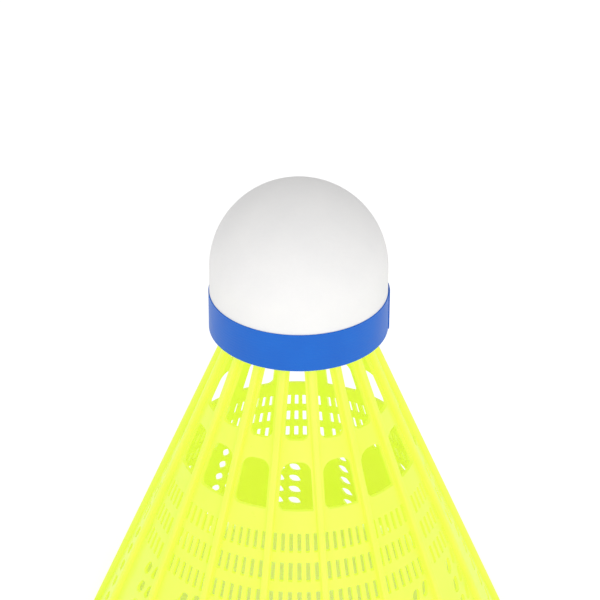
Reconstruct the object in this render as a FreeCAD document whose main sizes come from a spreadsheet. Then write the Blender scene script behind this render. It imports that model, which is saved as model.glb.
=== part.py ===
"""Badminton shuttlecock with a moulded nylon skirt, as a parametric FreeCAD document.

Millimetres, +Z up. The origin is the centre of the skirt's open rim, on which the shuttlecock
stands, and the head is at the top. Depths are measured down from the head's flat underside.
A bay is the stretch of skirt between two ribs; the bay that the sketches draw faces -Y. Sides are
as they look from outside.
"""

import FreeCAD, Part
import math
import os
import Sketcher

AXIS_FOOT = FreeCAD.Vector(0, 0, 0)
UPWARDS = FreeCAD.Vector(0, 0, 1)

SIZES = {
    # The skirt is a cone of ribs with a thin web between them.
    "skirt_height": 55.5,
    "rim_radius": 33.1,
    "neck_shoulder": 1.95,
    "rib_count": 16,
    "rib_width": 1.0,
    "rib_height": 0.95,
    "web_thickness": 0.5,
    "rim_bead_height": 1.2,
    "rim_bead_depth": 0.45,
    "collar_lip": 0.1,
    "collar_thickness": 1.2,
    # Two rows of windows, with a rail on each side that carries the rib.
    "rail_width": 1.7,
    "upper_window_length": 10.0,
    "upper_ring_height": 2.9,
    "lower_window_length": 6.6,
    "lower_ring_height": 3.0,
    "window_corner": 0.9,
    "arch_left_radius": 1.9,
    "arch_right_radius": 1.5,
    "arch_limit": 0.95,
    # The upper net: even upright slots. The angles are those of its two sides and its bars.
    "net_rows": 3,
    "net_row_pitch": 3.95,
    "net_slot_length": 2.6,
    "net_slots": 6,
    "net_side_angle": 2.5,
    "net_bar_angle": 1.85,
    # The lower net: two columns of leaning vents, placed by their angle from the rib on the right,
    # in as many rows as end a margin above the rim bead.
    "vent_strip_height": 1.2,
    "vent_rim_margin": 1.0,
    "vent_row_pitch": 3.03,
    "vent_length": 2.1,
    "vent_lean": 20,
    "wide_vent_width": 1.4,
    "wide_vent_place": 9.2,
    "small_vent_width": 1.15,
    "small_vent_place": 4.0,
    "small_vent_rise": 0.4,
    # The plug is the tube on top of the skirt that is glued into the head.
    "plug_radius": 8.0,
    "plug_wall": 1.4,
    "plug_length": 7.5,
    "plug_clearance": 0.05,
    "plug_end_gap": 0.5,
    # The head is a cork under a glued skin, with a ribbon round its foot.
    "head_radius": 12.85,
    "head_side": 9.7,
    "skin_thickness": 0.7,
    "skin_hem": 1.4,
    "band_width": 5.9,
    "band_thickness": 0.15,
    "band_lap_angle": 14,
    "band_lap_place": 86,
    # How far cutting profiles pass beyond the wall that they cut.
    "cut_reach": 0.3,
}

# Depths at which the windows and the net start and end, each counted on from the one before it.
UPPER_WINDOW_END = "(sizes.collar_thickness + sizes.upper_window_length)"
LOWER_WINDOW_START = f"({UPPER_WINDOW_END} + sizes.upper_ring_height)"
LOWER_WINDOW_END = f"({LOWER_WINDOW_START} + sizes.lower_window_length)"
NET_START = f"({LOWER_WINDOW_END} + sizes.lower_ring_height)"
NET_END = f"({NET_START} + (sizes.net_rows - 1) * sizes.net_row_pitch + sizes.net_slot_length)"

doc = FreeCAD.newDocument("shuttlecock")
sheet = doc.addObject("Spreadsheet::Sheet", "sizes")
for row, (alias, value) in enumerate(SIZES.items(), start=1):
    sheet.set(f"A{row}", alias)
    sheet.set(f"B{row}", str(value))
    sheet.setAlias(f"B{row}", alias)
doc.recompute()


def evaluate(expression):
    """The present value of an expression of the sheet's cells."""
    result = sheet.evalExpression(str(expression))
    return float(getattr(result, "Value", result))


def size(alias):
    """The present value of one cell of the sheet."""
    return float(sheet.get(alias))


def height(depth):
    """Expression for the height above the rim plane of a depth below the head."""
    return f"(sizes.skirt_height - ({depth}))"


def rib_line(depth):
    """Expression for the radius of the ribs' outer edges at a depth."""
    neck = "(sizes.plug_radius + sizes.neck_shoulder)"
    return f"({neck} + (sizes.rim_radius - {neck}) / sizes.skirt_height * ({depth}))"


def web_outside(depth):
    """Expression for the web's outer radius at a depth."""
    return f"({rib_line(depth)} - sizes.rib_height)"


def web_inside(depth):
    """Expression for the web's inner radius at a depth."""
    return f"({web_outside(depth)} - sizes.web_thickness)"


def origin_feature(body, role):
    """The body's own origin plane or axis with this role."""
    return next(feature for feature in body.Origin.OriginFeatures if feature.Role == role)


def new_body(name):
    """An empty body at the origin, labelled with the node's name."""
    body = doc.addObject("PartDesign::Body", name)
    body.Label = name
    body.Placement = FreeCAD.Placement()
    return body


def new_sketch(body, name, turn="0", forward="0"):
    """A sketch on the body's XZ plane, turned about Z and set forward by expressions."""
    sketch = body.newObject("Sketcher::SketchObject", name)
    sketch.AttachmentSupport = [(origin_feature(body, "XZ_Plane"), "")]
    sketch.MapMode = "FlatFace"
    sketch_upright = FreeCAD.Vector(0, 1, 0)
    sketch.AttachmentOffset = FreeCAD.Placement(
        FreeCAD.Vector(0, 0, evaluate(forward)), FreeCAD.Rotation(sketch_upright, evaluate(turn))
    )
    if turn != "0":
        sketch.setExpression(".AttachmentOffset.Rotation.Angle", turn)
    if forward != "0":
        sketch.setExpression(".AttachmentOffset.Base.z", forward)
    return sketch


def bind(sketch, *constraint, to):
    """Add a constraint and tie its value to an expression of the sheet."""
    index = sketch.addConstraint(Sketcher.Constraint(*constraint, evaluate(to)))
    sketch.setExpression(f"Constraints[{index}]", to)


def bind_point(sketch, geometry, point, x, y):
    """Tie both coordinates of a point of the sketch to expressions."""
    bind(sketch, "DistanceX", -1, 1, geometry, point, to=x)
    bind(sketch, "DistanceY", -1, 1, geometry, point, to=y)


def corner_trim(way_in, way_out, radius):
    """How much of each side a corner arc of this radius takes away."""
    return radius * math.tan(way_in.getAngle(way_out) / 2)


def join_arc(sketch, first, middle, last, before, after):
    """Join the end of one side to the start of another by a tangent arc."""
    arc = sketch.addGeometry(Part.Arc(first, middle, last))
    starts_at_first = (sketch.getPoint(arc, 1) - first).Length < (sketch.getPoint(arc, 2) - first).Length
    near, far = (1, 2) if starts_at_first else (2, 1)
    sketch.addConstraint(Sketcher.Constraint("Tangent", *before, arc, near))
    sketch.addConstraint(Sketcher.Constraint("Tangent", *after, arc, far))
    return arc


def draw_outline(sketch, corners):
    """Close an outline through corners given as (x, y) or (x, y, corner radius) expressions."""
    spots = [FreeCAD.Vector(evaluate(corner[0]), evaluate(corner[1]), 0) for corner in corners]
    radii = [evaluate(corner[2]) if len(corner) > 2 else 0 for corner in corners]
    ways = [(after - spot).normalize() for spot, after in zip(spots, spots[1:] + spots[:1])]
    trims = [corner_trim(ways[n - 1], ways[n], radii[n]) for n in range(len(corners))]
    sides = []
    for n, spot in enumerate(spots):
        after = (n + 1) % len(spots)
        start, end = spot + ways[n] * trims[n], spots[after] - ways[n] * trims[after]
        sides.append(sketch.addGeometry(Part.LineSegment(start, end)))
    for n, corner in enumerate(corners):
        before, after = sides[n - 1], sides[n]
        if radii[n] == 0:
            sketch.addConstraint(Sketcher.Constraint("Coincident", before, 2, after, 1))
            bind_point(sketch, after, 1, *corner)
            continue
        inward = (ways[n] - ways[n - 1]).normalize()
        middle = spots[n] + inward * (math.hypot(trims[n], radii[n]) - radii[n])
        first, last = spots[n] - ways[n - 1] * trims[n], spots[n] + ways[n] * trims[n]
        arc = join_arc(sketch, first, middle, last, (before, 2), (after, 1))
        bind(sketch, "Radius", arc, to=corner[2])
        point = sketch.addGeometry(Part.Point(spots[n]), True)
        bind_point(sketch, point, 1, *corner[:2])
        sketch.addConstraint(Sketcher.Constraint("PointOnObject", point, 1, before))
        sketch.addConstraint(Sketcher.Constraint("PointOnObject", point, 1, after))


def cut_outwards(body, sketch):
    """Cut a sketch's outlines through the wall in front of it."""
    pocket = body.newObject("PartDesign::Pocket", f"{sketch.Name}_cut")
    pocket.Profile = sketch
    pocket.Type = "ThroughAll"
    pocket.Reversed = True
    pocket.Refine = False
    sketch.Visibility = False


def make_web(body):
    """The plug, the collar and the thin conical web with its rim bead."""
    rim, collar = "sizes.skirt_height", "sizes.collar_thickness"
    bead = "(sizes.skirt_height - sizes.rim_bead_height)"
    bore = "(sizes.plug_radius - sizes.plug_wall)"
    collar_edge = f"({web_outside(collar)} + sizes.collar_lip)"
    sketch = new_sketch(body, "web_profile")
    draw_outline(sketch, [
        (bore, height("-sizes.plug_length")),
        ("sizes.plug_radius", height("-sizes.plug_length")),
        ("sizes.plug_radius", height("0")),
        (collar_edge, height("0")),
        (collar_edge, height(collar)),
        (web_outside(collar), height(collar)),
        (web_outside(bead), height(bead)),
        (f"({web_outside(bead)} + sizes.rim_bead_depth)", height(bead)),
        (f"({web_outside(rim)} + sizes.rim_bead_depth)", height(rim)),
        (web_inside(rim), height(rim)),
        (web_inside(collar), height(collar)),
        (bore, height(collar)),
    ])
    wall = body.newObject("PartDesign::Revolution", "web_turned")
    wall.Profile = sketch
    wall.ReferenceAxis = (sketch, ["V_Axis"])
    wall.Angle = 360
    sketch.Visibility = False


def make_ribs(body):
    """The ribs, from inside the web out to the rib line, from the collar to the rim."""
    rim = "sizes.skirt_height"
    sketch = new_sketch(body, "rib_profile", turn="(-90 - 180 / sizes.rib_count)")
    draw_outline(sketch, [
        (f"({web_outside(0)} - sizes.web_thickness / 2)", height("0")),
        (rib_line("0"), height("0")),
        (rib_line(rim), height(rim)),
        (f"({web_outside(rim)} - sizes.web_thickness / 2)", height(rim)),
    ])
    rib = body.newObject("PartDesign::Pad", "rib")
    rib.Profile = sketch
    rib.SideType = "Symmetric"
    rib.Refine = False
    rib.setExpression("Length", "sizes.rib_width")
    sketch.Visibility = False
    doc.recompute()
    all_round = doc.addObject("PartDesign::PolarPattern", "ribs_all_round")
    all_round.Axis = (origin_feature(body, "Z_Axis"), [""])
    all_round.Originals = [rib]
    all_round.Refine = False
    all_round.setExpression("Occurrences", "sizes.rib_count")
    body.addObject(all_round)
    body.Tip = all_round


def bay_side(depth):
    """Expression for half the width of the opening between two rails at a depth."""
    return f"({web_outside(depth)} * sin(180 / sizes.rib_count) - sizes.rail_width / 2)"


def behind_bay(depth):
    """Expression for a distance from the axis that is just behind a bay at a depth."""
    return f"({web_inside(depth)} * cos(180 / sizes.rib_count) - sizes.cut_reach)"


def arch_radius(wanted, depth):
    """Expression for a top corner's radius, kept within its half of the opening at a depth."""
    return f"min(sizes.{wanted}; sizes.arch_limit * {bay_side(depth)})"


def cut_windows(body):
    """Cut one bay's two windows, one above the other, below the collar."""
    top, foot = "sizes.collar_thickness", UPPER_WINDOW_END
    upper = new_sketch(body, "upper_windows", forward=behind_bay(top))
    draw_outline(upper, [
        (f"-{bay_side(top)}", height(top)),
        (bay_side(top), height(top)),
        (bay_side(foot), height(foot), "sizes.window_corner"),
        (f"-{bay_side(foot)}", height(foot), "sizes.window_corner"),
    ])
    cut_outwards(body, upper)
    top, foot = LOWER_WINDOW_START, LOWER_WINDOW_END
    lower = new_sketch(body, "lower_windows", forward=behind_bay(top))
    draw_outline(lower, [
        (f"-{bay_side(top)}", height(top), arch_radius("arch_left_radius", top)),
        (bay_side(top), height(top), arch_radius("arch_right_radius", top)),
        (bay_side(foot), height(foot)),
        (f"-{bay_side(foot)}", height(foot), "sizes.window_corner"),
    ])
    cut_outwards(body, lower)


def upright_slot(start, length, place, angle):
    """A cutter between two planes through the axis: depth, length, place in the bay, angle."""
    inside = evaluate(web_inside(start)) - size("cut_reach")
    outside = evaluate(web_outside(start + length)) + size("cut_reach")
    top, foot = size("skirt_height") - start, size("skirt_height") - start - length
    corners = [(inside, 0, top), (outside, 0, top), (outside, 0, foot), (inside, 0, foot), (inside, 0, top)]
    slot = Part.Face(Part.makePolygon(corners)).revolve(AXIS_FOOT, UPWARDS, angle)
    slot.rotate(AXIS_FOOT, UPWARDS, place - angle / 2)
    return slot


def leaning_vent(start, place, width):
    """A round-ended cutter that leans to the right as it rises: depth, place in the bay, width."""
    rise = (size("vent_length") - width) / 2
    run = rise * math.tan(math.radians(size("vent_lean")))
    middle = size("skirt_height") - start - size("vent_length") / 2
    up = FreeCAD.Vector(0, run, rise).normalize() * width / 2
    right = FreeCAD.Vector(0, up.z, -up.y)
    top, foot = FreeCAD.Vector(0, run, middle + rise), FreeCAD.Vector(0, -run, middle - rise)
    outline = Part.Wire([
        Part.makeLine(foot + right, top + right),
        Part.Arc(top + right, top + up, top - right).toShape(),
        Part.makeLine(top - right, foot - right),
        Part.Arc(foot - right, foot - up, foot + right).toShape(),
    ])
    back = evaluate(behind_bay(start))
    front = evaluate(web_outside(start + size("vent_length"))) + size("cut_reach")
    outline.translate(FreeCAD.Vector(back, 0, 0))
    vent = Part.Face(outline).extrude(FreeCAD.Vector(front - back, 0, 0))
    vent.rotate(AXIS_FOOT, UPWARDS, place)
    return vent


def net_slots(bay_angle):
    """Cutters for the upper net of the bay whose left rib lies on +X."""
    columns = int(size("net_slots"))
    column_angle = (bay_angle - 2 * size("net_side_angle")) / (columns - 1)
    slot_angle = column_angle - size("net_bar_angle")
    cutters = []
    for row in range(int(size("net_rows"))):
        start = evaluate(NET_START) + row * size("net_row_pitch")
        for column in range(columns):
            place = size("net_side_angle") + column * column_angle
            cutters.append(upright_slot(start, size("net_slot_length"), place, slot_angle))
    return cutters


def vents(bay_angle):
    """Cutters for the lower net of the bay whose left rib lies on +X."""
    first = evaluate(NET_END) + size("vent_strip_height")
    last = size("skirt_height") - size("rim_bead_height") - size("vent_rim_margin") - size("vent_length")
    wide, small = bay_angle - size("wide_vent_place"), bay_angle - size("small_vent_place")
    cutters = []
    for row in range(1 + math.floor((last - first) / size("vent_row_pitch"))):
        start = first + row * size("vent_row_pitch")
        cutters.append(leaning_vent(start, wide, size("wide_vent_width")))
        cutters.append(leaning_vent(start - size("small_vent_rise"), small, size("small_vent_width")))
    return cutters


def make_skirt():
    """The nylon moulding: plug, collar, ribs, two rows of windows, and the net down to the rim.

    The net is cut in one bay by a boolean of plain solids, and copies of that bay are joined in
    the middles of the ribs and on top of the rim bead, which stays whole. As features, the net's
    openings would take minutes to work out.
    """
    blank = new_body("skirt_blank")
    make_web(blank)
    make_ribs(blank)
    cut_windows(blank)
    doc.recompute()
    bay_angle = 360 / size("rib_count")
    reach = size("rim_radius") + size("cut_reach")
    bead_height = size("rim_bead_height")
    height_above_bead = size("skirt_height") + size("plug_length") - bead_height
    wedge = Part.makeCylinder(reach, height_above_bead, UPWARDS * bead_height, UPWARDS, bay_angle)
    cutters = net_slots(bay_angle) + vents(bay_angle)
    for tool in [wedge, *cutters]:
        tool.rotate(AXIS_FOOT, UPWARDS, -90 - bay_angle / 2)
    plain_blank = Part.Shape()
    plain_blank.importBrepFromString(blank.Shape.exportBrepToString())
    rim = plain_blank.common(Part.makeCylinder(reach, bead_height))
    first_bay = plain_blank.common(wedge).cut(cutters)
    other_bays = []
    for bay in range(1, int(size("rib_count"))):
        other_bays.append(first_bay.copy())
        other_bays[-1].rotate(AXIS_FOOT, UPWARDS, bay * bay_angle)
    skirt = doc.addObject("Part::Feature", "nylon_skirt")
    skirt.Shape = rim.multiFuse([first_bay, *other_bays]).Solids[0]
    skirt.Label = "nylon_skirt"
    skirt.Placement = FreeCAD.Placement()
    return skirt


def cylinder(name, radius, length, foot=height("0")):
    """An upright cylinder about the axis, from a foot's height."""
    part = doc.addObject("Part::Cylinder", name)
    part.setExpression("Radius", radius)
    part.setExpression("Height", length)
    part.setExpression("Placement.Base.z", foot)
    return part


def half_ball(name, radius):
    """The upper half of a ball about the centre of the head's round end."""
    part = doc.addObject("Part::Sphere", name)
    part.Angle1 = 0
    part.setExpression("Radius", radius)
    part.setExpression("Placement.Base.z", height("-sizes.head_side"))
    return part


def fuse(name, *pieces):
    """The pieces joined into one solid."""
    joined = doc.addObject("Part::MultiFuse", name)
    joined.Shapes = pieces
    joined.Refine = True
    return joined


def cut(name, base, tool):
    """The base without what the tool fills, labelled with the name."""
    rest = doc.addObject("Part::Cut", name)
    rest.Base = base
    rest.Tool = tool
    rest.Label = name
    rest.Placement = FreeCAD.Placement()
    return rest


def make_head():
    """The cork with its socket for the plug, and the skin over it with a hem under its edge."""
    cork_radius = "(sizes.head_radius - sizes.skin_thickness)"
    cork_blank = fuse(
        "cork_blank",
        cylinder("cork_foot", f"{cork_radius} - sizes.skin_hem", "sizes.skin_thickness"),
        cylinder(
            "cork_side", cork_radius, "sizes.head_side - sizes.skin_thickness",
            height("-sizes.skin_thickness"),
        ),
        half_ball("cork_end", cork_radius),
    )
    socket = cylinder(
        "plug_socket", "sizes.plug_radius + sizes.plug_clearance",
        "sizes.plug_length + sizes.plug_end_gap",
    )
    head_blank = fuse(
        "head_blank",
        cylinder("head_side", "sizes.head_radius", "sizes.head_side"),
        half_ball("head_end", "sizes.head_radius"),
    )
    return cut("cork_core", cork_blank, socket), cut("head_cover", head_blank, cork_blank)


def make_band():
    """The ribbon round the foot of the head, with its end lapped over its start."""
    once_round = cylinder(
        "ribbon_round", "sizes.head_radius + sizes.band_thickness", "sizes.band_width"
    )
    lap = cylinder("ribbon_lap", "sizes.head_radius + 2 * sizes.band_thickness", "sizes.band_width")
    lap.setExpression("Angle", "sizes.band_lap_angle")
    lap.Placement = FreeCAD.Placement(AXIS_FOOT, FreeCAD.Rotation(UPWARDS, 1))
    lap.setExpression("Placement.Rotation.Angle", "sizes.band_lap_place - 90")
    inside = cylinder("ribbon_inside", "sizes.head_radius", "sizes.band_width")
    return cut("blue_band", fuse("ribbon", once_round, lap), inside)


def write_nodes(nodes):
    """Check the whole document and each node, then write one STEP file for each node."""
    doc.recompute()
    for feature in doc.Objects:
        if "Invalid" in feature.State or "Error" in feature.State:
            raise RuntimeError(f"{feature.Name} failed: {feature.State}")
    for node in nodes:
        if node.Shape.isNull() or not node.Shape.isValid() or len(node.Shape.Solids) != 1:
            raise RuntimeError(f"{node.Label} is not one valid solid")
    os.makedirs("parts", exist_ok=True)
    for node in nodes:
        node.Shape.exportStep(f"parts/{node.Label}.step")
        print(node.Label, round(node.Shape.Volume, 1), node.Shape.BoundBox)


write_nodes([*make_head(), make_band(), make_skirt()])
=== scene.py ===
"""Badminton shuttlecock with a moulded nylon skirt: its looks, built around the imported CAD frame.

Metres, +Z up, with the origin at the centre of the skirt's open rim. Sections follow the order
in which the shuttlecock is put together: skirt, cork, skin, ribbon. The studio comes last.
"""

import math

import bpy
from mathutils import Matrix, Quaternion, Vector


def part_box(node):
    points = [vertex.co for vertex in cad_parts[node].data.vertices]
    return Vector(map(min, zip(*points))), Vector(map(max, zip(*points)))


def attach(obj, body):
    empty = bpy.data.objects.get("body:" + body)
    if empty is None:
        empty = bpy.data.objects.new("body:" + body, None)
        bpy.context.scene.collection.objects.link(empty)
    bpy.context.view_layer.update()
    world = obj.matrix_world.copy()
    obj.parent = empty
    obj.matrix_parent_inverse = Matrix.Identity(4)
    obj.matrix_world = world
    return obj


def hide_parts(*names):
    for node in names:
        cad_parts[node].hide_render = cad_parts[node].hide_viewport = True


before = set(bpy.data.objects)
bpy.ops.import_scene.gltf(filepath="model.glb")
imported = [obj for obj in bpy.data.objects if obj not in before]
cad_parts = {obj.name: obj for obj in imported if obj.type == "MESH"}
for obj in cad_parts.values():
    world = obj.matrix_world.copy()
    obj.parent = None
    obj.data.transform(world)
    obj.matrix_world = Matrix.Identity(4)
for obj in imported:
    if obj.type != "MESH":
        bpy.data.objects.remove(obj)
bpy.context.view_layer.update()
MM = 0.001

# --- Skirt -------------------------------------------------------------------------------------
# One injection moulding in fluorescent yellow nylon: ribs on a thin conical web with windows and a
# fine net, a rim bead at the foot, and a collar and a plug tube at the top. The plug is glued into
# the cork.

SKIRT_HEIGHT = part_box("cork_core")[0][2]
RIB_COUNT = 16
HOOP_STEPS_PER_BAY = 10
BAY_ANGLE = math.tau / RIB_COUNT
RIB_WIDTH = 1.0 * MM
RIB_HEIGHT = 0.95 * MM
RIB_ROUNDING = 0.32 * MM
RIM_RADIUS = 33.1 * MM
NECK_RADIUS = 9.95 * MM
WEB_THICKNESS = 0.5 * MM
RAIL_WIDTH = 1.7 * MM
RIM_BEAD_HEIGHT = 1.2 * MM
RIM_BEAD_DEPTH = 0.45 * MM
COLLAR_DEPTH = 1.2 * MM
COLLAR_RADIUS = 9.6 * MM
PLUG_RADIUS = 8.0 * MM
PLUG_WALL = 1.4 * MM
PLUG_LENGTH = 7.5 * MM
SPREAD = (RIM_RADIUS - NECK_RADIUS) / SKIRT_HEIGHT
WEB_NECK_RADIUS = NECK_RADIUS - RIB_HEIGHT
SHARP_EDGE = math.radians(32)
BAY_SEAM_MARGIN = 0.01 * MM
BAY_WELD = 0.004 * MM
FACE_WELD = 0.001 * MM


def web_radius(depth):
    """The web's outer radius at a depth below the head."""
    return WEB_NECK_RADIUS + SPREAD * depth


class Value:
    """A node socket that adds nodes when it is used in a sum, product or other expression."""

    def __init__(self, tree, socket):
        self.tree = tree
        self.socket = socket

    def combined(self, operation, *others):
        node = self.tree.nodes.new("ShaderNodeMath")
        node.operation = operation
        for place, item in zip(node.inputs, (self, *others)):
            plug_in(self.tree, item, place)
        return Value(self.tree, node.outputs[0])

    def __add__(self, other):
        return self.combined("ADD", other)

    def __sub__(self, other):
        return self.combined("SUBTRACT", other)

    def __mul__(self, other):
        return self.combined("MULTIPLY", other)

    def __truediv__(self, other):
        return self.combined("DIVIDE", other)

    def __neg__(self):
        return self.combined("MULTIPLY", -1.0)

    def __rsub__(self, other):
        return (-self).combined("ADD", other)

    __radd__ = __add__
    __rmul__ = __mul__


def plug_in(tree, item, place):
    """Put a value, a socket or a plain number or vector into a node's input."""
    if isinstance(item, Value):
        item = item.socket
    if isinstance(item, bpy.types.NodeSocket):
        tree.links.new(item, place)
    else:
        place.default_value = item


class Tree:
    """A node tree under construction."""

    def __init__(self, tree):
        self.tree = tree

    def node(self, kind, settings=None, output=0, **sockets):
        """Add a node, apply its settings, fill its sockets by name and return one output.

        A socket's name is written with _ for spaces; a name such as input_2 is a position.
        """
        node = self.tree.nodes.new(kind)
        for name, setting in (settings or {}).items():
            setattr(node, name, setting)
        for name, item in sockets.items():
            if name.startswith("input_"):
                place = node.inputs[int(name.removeprefix("input_"))]
            else:
                place = node.inputs[name.replace("_", " ")]
            for one in item if isinstance(item, list) else [item]:
                plug_in(self.tree, one, place)
        return Value(self.tree, node.outputs[output])


class Shape(Tree):
    """A Geometry Nodes tree whose named inputs are the sizes of one piece."""

    def __init__(self, name, sizes):
        super().__init__(bpy.data.node_groups.new(name, "GeometryNodeTree"))
        self.sizes = sizes
        for size, value in sizes.items():
            kind = "NodeSocketInt" if isinstance(value, int) else "NodeSocketFloat"
            self.tree.interface.new_socket(size, in_out="INPUT", socket_type=kind)
        self.tree.interface.new_socket("Geometry", in_out="OUTPUT", socket_type="NodeSocketGeometry")
        self.entry = self.tree.nodes.new("NodeGroupInput")

    def size(self, name):
        """The value of a named input."""
        return Value(self.tree, self.entry.outputs[name])

    def xyz(self, x=0.0, y=0.0, z=0.0):
        """A vector from three values."""
        return self.node("ShaderNodeCombineXYZ", X=x, Y=y, Z=z)

    def part_of(self, vector, axis):
        """One coordinate of a vector."""
        return self.node("ShaderNodeSeparateXYZ", output="XYZ".index(axis), Vector=vector)

    def join(self, *geometry):
        """Several geometries as one."""
        return self.node("GeometryNodeJoinGeometry", Geometry=list(reversed(geometry)))

    def finish(self, geometry, material):
        """Close the tree with Realize Instances and Set Material, and make its piece."""
        real = self.node("GeometryNodeRealizeInstances", Geometry=geometry)
        done = self.node("GeometryNodeSetMaterial", Geometry=real, Material=material)
        exit_node = self.tree.nodes.new("NodeGroupOutput")
        plug_in(self.tree, done, exit_node.inputs["Geometry"])
        carrier = bpy.data.objects.new(self.tree.name, bpy.data.meshes.new(self.tree.name))
        bpy.context.scene.collection.objects.link(carrier)
        modifier = carrier.modifiers.new("shape", "NODES")
        modifier.node_group = self.tree
        for item in self.tree.interface.items_tree:
            if item.in_out == "INPUT":
                modifier[item.identifier] = self.sizes[item.name]
        view = bpy.context.evaluated_depsgraph_get()
        mesh = bpy.data.meshes.new_from_object(carrier.evaluated_get(view), depsgraph=view)
        carrier.modifiers.remove(modifier)
        carrier.data = mesh
        return carrier


class Finish(Tree):
    """A material under construction, with its surface shader."""

    def __init__(self, name, **constants):
        self.material = bpy.data.materials.new(name)
        self.material.use_nodes = True
        super().__init__(self.material.node_tree)
        self.surface = self.tree.nodes["Principled BSDF"]
        for socket, constant in constants.items():
            self.surface.inputs[socket.replace("_", " ")].default_value = constant

    def place(self):
        """The point's place in the object's own space."""
        return self.node("ShaderNodeTexCoord", output=3)

    def noise(self, scale, detail=3.0):
        """Even noise from 0 to 1 at a number of waves per metre."""
        return self.node("ShaderNodeTexNoise", Vector=self.place(), Scale=scale, Detail=detail)

    def blend(self, amount, first, second):
        """A colour between two others."""
        settings = {"data_type": "RGBA"}
        return self.node(
            "ShaderNodeMix", settings, output=2, input_0=amount, input_6=first, input_7=second
        )

    def bump(self, relief, distance, strength=1.0):
        """Give the surface a relief of a distance in metres."""
        bumped = self.node("ShaderNodeBump", Height=relief, Distance=distance, Strength=strength)
        self.set("Normal", bumped)

    def set(self, socket, item):
        """Feed one of the surface shader's sockets."""
        plug_in(self.tree, item, self.surface.inputs[socket])


def colour(red, green, blue):
    """A linear colour that fills a colour socket."""
    return (red, green, blue, 1.0)


def yellow_nylon():
    """Fluorescent nylon, which lets some light through its thin web, with a faint painted glow in its
    own colour.
    """
    # Painted light: the skirt gets a faint glow in its own yellow (emission), which brightens it and
    # flattens its shading.
    finish = Finish("yellow_nylon", IOR=1.53, Specular_IOR_Level=0.45, Emission_Strength=0.22)
    body = finish.blend(finish.noise(scale=180.0), colour(0.87, 0.94, 0.14), colour(0.93, 0.97, 0.19))
    finish.set("Base Color", body)
    finish.set("Emission Color", body)
    finish.set("Roughness", finish.noise(scale=900.0) * 0.12 + 0.24)
    finish.bump(finish.noise(scale=1500.0, detail=2.0), distance=0.02 * MM)
    through = finish.node("ShaderNodeBsdfTranslucent", Color=colour(0.84, 0.96, 0.17))
    mixed = finish.node(
        "ShaderNodeMixShader", Fac=0.4, input_1=Value(finish.tree, finish.surface.outputs[0]),
        input_2=through,
    )
    plug_in(finish.tree, mixed, finish.tree.nodes["Material Output"].inputs["Surface"])
    return finish.material


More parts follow.
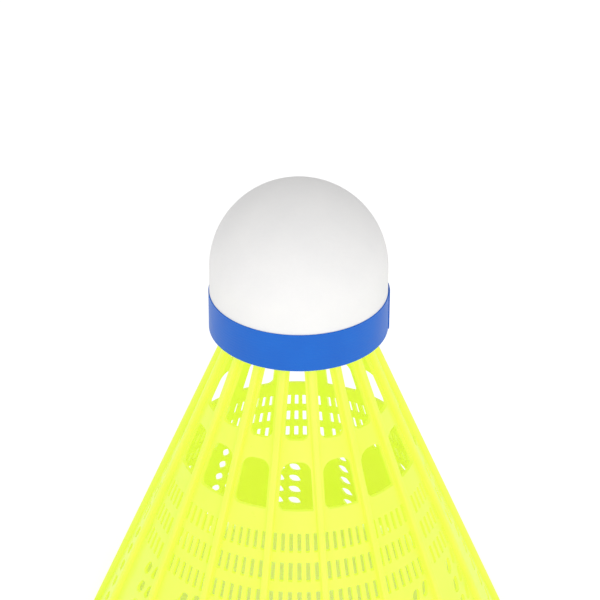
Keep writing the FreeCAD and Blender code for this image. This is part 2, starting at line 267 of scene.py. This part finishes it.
def skirt_shape():
    """The skirt's tree: a flat bay with its openings, wrapped round the cone, and what joins it."""
    shape = Shape("nylon_skirt_moulding", {
        "skirt height": SKIRT_HEIGHT,
        "rib count": RIB_COUNT,
        "rib width": RIB_WIDTH,
        "rib height": RIB_HEIGHT,
        "web thickness": WEB_THICKNESS,
        "web rim radius": web_radius(SKIRT_HEIGHT),
        "spread": SPREAD,
    })
    height, thickness = shape.size("skirt height"), shape.size("web thickness")
    half_bay = math.sin(BAY_ANGLE / 2)

    def radius_at(level):
        """The web's outer radius at a height above the rim."""
        return shape.size("web rim radius") - shape.size("spread") * level

    def four_corners(corners):
        """A closed four-sided outline in a flat bay."""
        points = {f"Point_{n}": shape.xyz(x, level) for n, (x, level) in enumerate(corners, start=1)}
        return shape.node("GeometryNodeCurvePrimitiveQuadrilateral", {"mode": "POINTS"}, **points)

    def moved(geometry, position):
        """The geometry with each of its points at a new position."""
        return shape.node("GeometryNodeSetPosition", Geometry=geometry, Position=position)

    def here(axis):
        """One coordinate of the point that a field is worked out for."""
        return shape.part_of(shape.node("GeometryNodeInputPosition"), axis)

    def rounded(curve, radius, steps=4):
        """A closed curve with its corners rounded."""
        settings = {"mode": "POLY"}
        return shape.node("GeometryNodeFilletCurve", settings, Curve=curve, Count=steps, Radius=radius)

    def divided(curve, cuts):
        """A curve with each side cut into more, so that it can bend round the cone."""
        return shape.node("GeometryNodeSubdivideCurve", Curve=curve, Cuts=cuts)

    def bay_outline():
        """The edge of one bay, from the rim plane up into the collar."""
        foot = radius_at(0.0) * half_bay
        top_level = height - COLLAR_DEPTH / 2
        top = radius_at(top_level) * half_bay
        corners = [(-foot, 0.0), (foot, 0.0), (top, top_level), (-top, top_level)]
        return divided(four_corners(corners), cuts=9)

    def window(start, end, roundings):
        """One window between two rails; its corner radii go round from the upper left."""
        sides = [
            (radius_at(height - depth) * half_bay - RAIL_WIDTH / 2, height - depth)
            for depth in (start, end)
        ]
        (top, top_level), (foot, foot_level) = sides
        corners = [(-top, top_level), (top, top_level), (foot, foot_level), (-foot, foot_level)]
        chooser = shape.tree.nodes.new("GeometryNodeIndexSwitch")
        chooser.data_type = "FLOAT"
        chooser.index_switch_items.new()
        chooser.index_switch_items.new()
        plug_in(shape.tree, shape.node("GeometryNodeInputIndex"), chooser.inputs[0])
        for n, rounding in enumerate(roundings, start=1):
            chooser.inputs[n].default_value = rounding
        radii = Value(shape.tree, chooser.outputs[0])
        return divided(rounded(four_corners(corners), radii, steps=6), cuts=1)

    def openings(start, rows, row_pitch, length, first, columns, width, rounding, pitch=0.0, lean=0.0):
        """Rows of like openings across a bay; places and widths are angles from the left rib."""
        middle_depth = start + (rows - 1) * row_pitch / 2 + length / 2
        nominal = web_radius(middle_depth)
        outline = shape.node(
            "GeometryNodeCurvePrimitiveQuadrilateral", Width=width * nominal, Height=length
        )
        outline = rounded(outline, rounding, steps=3)
        outline = moved(outline, shape.xyz(here("X") + here("Y") * math.tan(lean), here("Y")))
        grid = shape.node(
            "GeometryNodeMeshGrid", Size_X=(columns - 1) * pitch * nominal,
            Size_Y=(rows - 1) * row_pitch, Vertices_X=columns, Vertices_Y=rows,
        )
        centre = first + (columns - 1) * pitch / 2 - BAY_ANGLE / 2
        grid = moved(grid, shape.xyz(here("X") + centre * nominal, here("Y") + (height - middle_depth)))
        placed = shape.node("GeometryNodeInstanceOnPoints", Points=grid, Instance=outline)
        placed = shape.node("GeometryNodeRealizeInstances", Geometry=placed)
        turn = shape.node("ShaderNodeMath", {"operation": "SINE"}, input_0=here("X") / nominal)
        return moved(placed, shape.xyz(radius_at(here("Y")) * turn, here("Y")))

    def round_the_skirt(geometry):
        """Copies of a bay's geometry all the way round."""
        one = shape.node("GeometryNodeGeometryToInstance", Geometry=geometry)
        copies = shape.node(
            "GeometryNodeDuplicateElements", {"domain": "INSTANCE"}, Geometry=one,
            Amount=shape.size("rib count"),
        )
        number = Value(shape.tree, copies.socket.node.outputs[1])
        turned = shape.node(
            "GeometryNodeRotateInstances", Instances=copies,
            Rotation=shape.xyz(z=number * BAY_ANGLE),
        )
        real = shape.node("GeometryNodeRealizeInstances", Geometry=turned)
        return shape.node("GeometryNodeMergeByDistance", Geometry=real, Distance=BAY_WELD)

    def hoop(inner, outer, low, high, rounding):
        """A ring with a rounded rectangular section between two radii and two heights."""
        circle = shape.node(
            "GeometryNodeCurvePrimitiveCircle", Resolution=RIB_COUNT * HOOP_STEPS_PER_BAY,
            Radius=(inner + outer) / 2,
        )
        circle = moved(circle, shape.xyz(here("X"), here("Y"), (low + high) / 2))
        section = shape.node(
            "GeometryNodeCurvePrimitiveQuadrilateral", Width=outer - inner, Height=high - low
        )
        section = rounded(section, rounding)
        return shape.node("GeometryNodeCurveToMesh", Curve=circle, Profile_Curve=section)

    deg = math.radians(1)
    vents = {"rows": 6, "row_pitch": 3.03 * MM, "length": 2.1 * MM, "columns": 1, "lean": 20 * deg}
    outlines = shape.join(
        bay_outline(),
        window(
            start=COLLAR_DEPTH, end=11.2 * MM, roundings=[0.1 * MM, 0.1 * MM, 0.9 * MM, 0.9 * MM]
        ),
        window(
            start=14.1 * MM, end=20.7 * MM, roundings=[1.9 * MM, 1.5 * MM, 0.15 * MM, 0.9 * MM]
        ),
        openings(
            start=23.7 * MM, rows=3, row_pitch=3.95 * MM, length=2.6 * MM,
            first=2.5 * deg, columns=6, pitch=3.5 * deg, width=1.65 * deg, rounding=0.12 * MM,
        ),
        openings(start=35.4 * MM, first=13.3 * deg, width=3.3 * deg, rounding=0.66 * MM, **vents),
        openings(start=35.0 * MM, first=18.5 * deg, width=2.7 * deg, rounding=0.54 * MM, **vents),
    )
    inside = shape.node("GeometryNodeFillCurve", {"mode": "TRIANGLES"}, Curve=outlines)
    raised = shape.node(
        "GeometryNodeExtrudeMesh", Mesh=inside, Offset=(0.0, 0.0, 1.0), Offset_Scale=thickness,
        Individual=False,
    )
    on_wall = Value(shape.tree, raised.socket.node.outputs[2])
    off_centre = shape.node("ShaderNodeMath", {"operation": "ABSOLUTE"}, input_0=here("X"))
    at_side = shape.node(
        "ShaderNodeMath", {"operation": "GREATER_THAN"}, input_0=off_centre,
        input_1=radius_at(here("Y")) * half_bay - BAY_SEAM_MARGIN,
    )
    seam = on_wall * at_side
    raised = shape.node(
        "GeometryNodeDeleteGeometry", {"domain": "FACE"}, Geometry=raised, Selection=seam
    )
    underside = shape.node("GeometryNodeFlipFaces", Mesh=inside)
    bay = shape.node(
        "GeometryNodeMergeByDistance", Geometry=shape.join(raised, underside), Distance=FACE_WELD
    )
    depth_in_wall = here("Z") - thickness
    wall_radius = radius_at(here("Y")) + depth_in_wall
    sideways = here("X") * wall_radius / radius_at(here("Y"))
    squared = wall_radius * wall_radius - sideways * sideways
    forward = shape.node("ShaderNodeMath", {"operation": "SQRT"}, input_0=squared)
    bay = moved(bay, shape.xyz(sideways, -forward, here("Y")))

    rib_depth = shape.size("rib height") + thickness / 2
    section = shape.node(
        "GeometryNodeCurvePrimitiveQuadrilateral", Width=shape.size("rib width"), Height=rib_depth
    )
    section = rounded(section, RIB_ROUNDING, steps=5)
    foot_radius = shape.size("web rim radius") + shape.size("rib height") - rib_depth / 2
    section = moved(section, shape.xyz(here("X"), here("Y") - foot_radius))
    foot = shape.node("GeometryNodeFillCurve", {"mode": "NGONS"}, Curve=section)
    rise = shape.xyz(0.0, shape.size("spread") * height, height)
    rib = shape.node("GeometryNodeExtrudeMesh", Mesh=foot, Offset=rise, Individual=False)
    rib = shape.join(rib, shape.node("GeometryNodeFlipFaces", Mesh=foot))
    rib = shape.node("GeometryNodeMergeByDistance", Geometry=rib, Distance=FACE_WELD)
    rib = shape.node(
        "GeometryNodeTransform", Geometry=rib, Rotation=(0.0, 0.0, BAY_ANGLE / 2)
    )

    rim_web = shape.size("web rim radius")
    rim_bead = hoop(
        rim_web - thickness, rim_web + RIM_BEAD_DEPTH, 0.0, RIM_BEAD_HEIGHT, rounding=0.2 * MM
    )
    bore = PLUG_RADIUS - PLUG_WALL
    collar = hoop(bore, COLLAR_RADIUS, height - COLLAR_DEPTH, height, rounding=0.05 * MM)
    plug = hoop(
        bore, PLUG_RADIUS, height - COLLAR_DEPTH / 2, height + PLUG_LENGTH, rounding=0.1 * MM
    )
    whole = shape.join(round_the_skirt(bay), round_the_skirt(rib), rim_bead, collar, plug)
    smooth = shape.node("GeometryNodeSetShadeSmooth", {"domain": "FACE"}, Geometry=whole)
    edge_angle = shape.node("GeometryNodeInputMeshEdgeAngle")
    is_edge = shape.node(
        "ShaderNodeMath", {"operation": "GREATER_THAN"}, input_0=edge_angle, input_1=SHARP_EDGE
    )
    shaded = shape.node(
        "GeometryNodeSetShadeSmooth", {"domain": "EDGE"}, Geometry=smooth, Selection=is_edge,
        Shade_Smooth=False,
    )
    return shape.finish(shaded, yellow_nylon())


skirt = skirt_shape()
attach(skirt, "root")
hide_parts("nylon_skirt")

# --- Cork --------------------------------------------------------------------------------------
# The nose's core, turned from cork with a round end and a blind socket that the skirt's plug is
# glued into. It keeps its CAD shape, since only its socket can be seen, up through the plug.


def natural_cork():
    """Pale cork with darker grains and pores."""
    finish = Finish("natural_cork", Roughness=0.8)
    grains = finish.node("ShaderNodeTexVoronoi", Vector=finish.place(), Scale=900.0)
    pores = finish.noise(scale=2500.0, detail=4.0)
    tone = finish.blend(grains * 0.7, colour(0.55, 0.34, 0.17), colour(0.72, 0.5, 0.29))
    finish.set("Base Color", finish.blend(pores * 0.4, tone, colour(0.25, 0.13, 0.06)))
    finish.bump(grains + pores, distance=0.1 * MM)
    return finish.material


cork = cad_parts["cork_core"]
cork.data.materials.clear()
cork.data.materials.append(natural_cork())

# --- White skin --------------------------------------------------------------------------------
# Thin synthetic leather, stretched over the cork's round end and glued, with its hem turned in
# under the cork's edge. It keeps a fine matt grain.

HEAD_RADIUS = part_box("head_cover")[1][0]
HEAD_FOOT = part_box("head_cover")[0][2]
HEAD_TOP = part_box("head_cover")[1][2]
HEAD_SIDE = HEAD_TOP - HEAD_FOOT - HEAD_RADIUS
SKIN_THICKNESS = 0.7 * MM
SKIN_HEM = 1.4 * MM
SKIN_EDGE = 0.25 * MM
HEAD_STEPS_ROUND = 192


def lathe(name, outline, steps, material):
    """A closed ring or cap made by turning (radius, height) points about the upright axis."""
    points = []
    faces = []
    rows = []
    for radius, level in outline:
        if radius < FACE_WELD:
            rows.append([len(points)] * steps)
            points.append((0.0, 0.0, level))
            continue
        rows.append(range(len(points), len(points) + steps))
        for n in range(steps):
            angle = math.tau * n / steps
            points.append((radius * math.cos(angle), radius * math.sin(angle), level))
    closed = outline[0][0] > FACE_WELD
    following = rows[1:] + rows[:1] if closed else rows[1:]
    for low, high in zip(rows, following):
        for n in range(steps):
            after = (n + 1) % steps
            corners = dict.fromkeys([low[n], low[after], high[after], high[n]])
            if len(corners) > 2:
                faces.append(list(corners))
    mesh = bpy.data.meshes.new(name)
    mesh.from_pydata(points, [], faces)
    mesh.validate()
    for face in mesh.polygons:
        face.use_smooth = True
    mesh.materials.append(material)
    piece = bpy.data.objects.new(name, mesh)
    bpy.context.scene.collection.objects.link(piece)
    return piece


def dome(radius, centre, steps=48):
    """The quarter circle from a round end's side to its top."""
    angles = [math.pi / 2 * n / steps for n in range(steps)]
    arc = [(radius * math.cos(angle), centre + radius * math.sin(angle)) for angle in angles]
    return arc + [(0.0, centre + radius)]


def white_skin():
    """Matt white synthetic leather with a fine pebbled grain."""
    finish = Finish("white_skin", IOR=1.45, Specular_IOR_Level=0.35)
    grain = finish.noise(scale=2600.0, detail=4.0)
    patches = finish.noise(scale=220.0)
    finish.set("Base Color", finish.blend(patches, colour(0.84, 0.835, 0.835), colour(0.90, 0.89, 0.88)))
    finish.set("Roughness", grain * 0.2 + 0.52)
    finish.bump(grain, distance=0.06 * MM, strength=0.6)
    return finish.material


round_centre = HEAD_FOOT + HEAD_SIDE
inner_radius = HEAD_RADIUS - SKIN_THICKNESS
outside = [(inner_radius - SKIN_HEM, HEAD_FOOT), (HEAD_RADIUS - SKIN_EDGE, HEAD_FOOT)]
outside += [
    (
        HEAD_RADIUS - SKIN_EDGE + SKIN_EDGE * math.sin(angle),
        HEAD_FOOT + SKIN_EDGE - SKIN_EDGE * math.cos(angle),
    )
    for angle in (math.radians(30), math.radians(60), math.radians(90))
]
outside += [(HEAD_RADIUS, HEAD_FOOT + HEAD_SIDE / 2)]
outside += dome(HEAD_RADIUS, round_centre)
inside = list(reversed(dome(inner_radius, round_centre)))
inside += [
    (inner_radius, HEAD_FOOT + SKIN_THICKNESS),
    (inner_radius - SKIN_HEM, HEAD_FOOT + SKIN_THICKNESS),
]
head_skin = lathe("head_skin", outside + inside, HEAD_STEPS_ROUND, white_skin())
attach(head_skin, "root")
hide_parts("head_cover")

# --- Blue ribbon -------------------------------------------------------------------------------
# A satin-faced ribbon wound once round the foot of the head and glued. Its outer end lies over
# its start for about 3 mm, and is cut square.

RIBBON_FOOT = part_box("blue_band")[0][2]
RIBBON_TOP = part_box("blue_band")[1][2]
RIBBON_THICKNESS = 0.14 * MM
RIBBON_GAP = 0.008 * MM
RIBBON_START = math.radians(10)
RIBBON_LAP = math.radians(14)
RIBBON_RAMP = math.radians(5)
RIBBON_STEPS = 374


def blue_satin():
    """Blue ribbon with fine threads across it."""
    finish = Finish("blue_satin", Specular_IOR_Level=0.35, IOR=1.45)
    threads = finish.node(
        "ShaderNodeTexWave", {"bands_direction": "Z"}, output=1, Vector=finish.place(),
        Scale=700.0, Distortion=0.6, Detail=2.0,
    )
    wear = finish.noise(scale=240.0)
    finish.set("Base Color", finish.blend(wear, colour(0.001, 0.11, 0.55), colour(0.002, 0.145, 0.63)))
    finish.set("Roughness", wear * 0.15 + 0.36)
    finish.bump(threads, distance=0.015 * MM, strength=0.5)
    return finish.material


def wound_ribbon():
    """The ribbon as a strip wound clockwise, with its last stretch lifted over its start."""
    edge = RIBBON_THICKNESS * 0.35
    section = [
        (0.0, RIBBON_FOOT), (RIBBON_THICKNESS - edge, RIBBON_FOOT),
        (RIBBON_THICKNESS, RIBBON_FOOT + edge), (RIBBON_THICKNESS, RIBBON_TOP - edge),
        (RIBBON_THICKNESS - edge, RIBBON_TOP), (0.0, RIBBON_TOP),
    ]
    points = []
    faces = []
    corners = len(section)
    for step in range(RIBBON_STEPS + 1):
        wound = step / RIBBON_STEPS * (math.tau + RIBBON_LAP)
        lift = min(max((wound - (math.tau - RIBBON_RAMP)) / RIBBON_RAMP, 0.0), 1.0)
        under = HEAD_RADIUS + RIBBON_GAP + lift * (RIBBON_THICKNESS + RIBBON_GAP)
        angle = RIBBON_START - wound
        for out, level in section:
            radius = under + out
            points.append((radius * math.cos(angle), radius * math.sin(angle), level))
        if step:
            first = (step - 1) * corners
            for n in range(corners):
                after = (n + 1) % corners
                faces.append([first + n, first + after, first + corners + after, first + corners + n])
    faces.append(list(reversed(range(corners))))
    faces.append([RIBBON_STEPS * corners + n for n in range(corners)])
    mesh = bpy.data.meshes.new("foot_ribbon")
    mesh.from_pydata(points, [], faces)
    mesh.materials.append(blue_satin())
    piece = bpy.data.objects.new("foot_ribbon", mesh)
    bpy.context.scene.collection.objects.link(piece)
    return piece


foot_ribbon = wound_ribbon()
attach(foot_ribbon, "root")
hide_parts("blue_band")

# --- Studio ------------------------------------------------------------------------------------
# A plain white floor and soft white light from all sides, as for a catalogue picture, with a painted
# shadow on the floor under the skirt. Nothing here belongs to the shuttlecock.

# Width of the soft edge of the painted shadow just inside the skirt's foot.
PAINTED_SHADOW_EDGE = 4 * MM


def studio_white():
    """White for the floor with a faint glow, and a painted shadow under the skirt, where the glow fades
    out just inside the skirt's foot.
    """
    finish = Finish("studio_white", Roughness=0.9, Emission_Strength=0.42)
    paper = finish.blend(finish.noise(scale=3.0), colour(0.94, 0.94, 0.94), colour(1, 1, 1))
    finish.set("Base Color", paper)
    # Painted shadow: inside the skirt's rim the floor's glow is turned off, so the floor under the
    # shuttlecock is darker.
    from_axis = finish.node(
        "ShaderNodeVectorMath", {"operation": "LENGTH"}, output=1, input_0=finish.place()
    )
    glow_outside_painted_shadow = finish.node(
        "ShaderNodeMapRange", Value=from_axis, From_Min=RIM_RADIUS - PAINTED_SHADOW_EDGE, From_Max=RIM_RADIUS
    )
    finish.set("Emission Color", finish.blend(glow_outside_painted_shadow, colour(0, 0, 0), colour(1, 1, 1)))
    return finish.material


FLOOR_HALF = 3.0
floor_mesh = bpy.data.meshes.new("studio_floor")
floor_corners = [(-1, -1), (1, -1), (1, 1), (-1, 1)]
floor_points = [(x * FLOOR_HALF, y * FLOOR_HALF, 0.0) for x, y in floor_corners]
floor_mesh.from_pydata(floor_points, [], [(0, 1, 2, 3)])
floor_mesh.materials.append(studio_white())
studio_floor = bpy.data.objects.new("studio_floor", floor_mesh)
bpy.context.scene.collection.objects.link(studio_floor)

AIR_STRENGTH = 0.60
studio_air = bpy.data.worlds.new("studio_air")
studio_air.use_nodes = True
background = studio_air.node_tree.nodes["Background"]
background.inputs["Color"].default_value = colour(1, 1, 1)
background.inputs["Strength"].default_value = AIR_STRENGTH
bpy.context.scene.world = studio_air
bpy.context.scene.view_settings.view_transform = "Standard"


def soft_light(name, place, target, width, power):
    """A square soft box aimed at a point."""
    data = bpy.data.lights.new(name, "AREA")
    data.size = width
    data.energy = power
    light = bpy.data.objects.new(name, data)
    light.location = place
    light.rotation_euler = (Vector(target) - Vector(place)).to_track_quat("-Z", "Y").to_euler()
    bpy.context.scene.collection.objects.link(light)


MIDDLE = (0.0, 0.0, SKIRT_HEIGHT)
soft_light("key_light", (0.15, -0.50, 0.36), MIDDLE, width=0.4, power=1.0)
soft_light("fill_light", (-0.40, -0.20, 0.45), MIDDLE, width=0.4, power=0.3)

CAMERA_DISTANCE = 388.4 * MM
CAMERA_ELEVATION = math.radians(30.79)
CAMERA_AZIMUTH = math.radians(1.01)
CAMERA_ROLL = math.radians(0.249)
CAMERA_LENS = 160.8
AIM_HEIGHT = SKIRT_HEIGHT + 4.086 * MM
AIM_RIGHT = 0.1985 * MM

camera_data = bpy.data.cameras.new("camera")
camera_data.lens = CAMERA_LENS
camera_data.sensor_width = 36.0
camera_data.clip_start = 0.01
camera = bpy.data.objects.new("camera", camera_data)
bpy.context.scene.collection.objects.link(camera)
bpy.context.scene.camera = camera
level_distance = CAMERA_DISTANCE * math.cos(CAMERA_ELEVATION)
camera.location = (
    level_distance * math.sin(CAMERA_AZIMUTH),
    -level_distance * math.cos(CAMERA_AZIMUTH),
    SKIRT_HEIGHT + CAMERA_DISTANCE * math.sin(CAMERA_ELEVATION),
)
aim = Vector((AIM_RIGHT * math.cos(CAMERA_AZIMUTH), AIM_RIGHT * math.sin(CAMERA_AZIMUTH), AIM_HEIGHT))
turned = (aim - camera.location).to_track_quat("-Z", "Y").to_matrix()
roll = turned @ Vector((0, 0, 1))
camera.rotation_euler = (Quaternion(roll, CAMERA_ROLL).to_matrix() @ turned).to_euler()
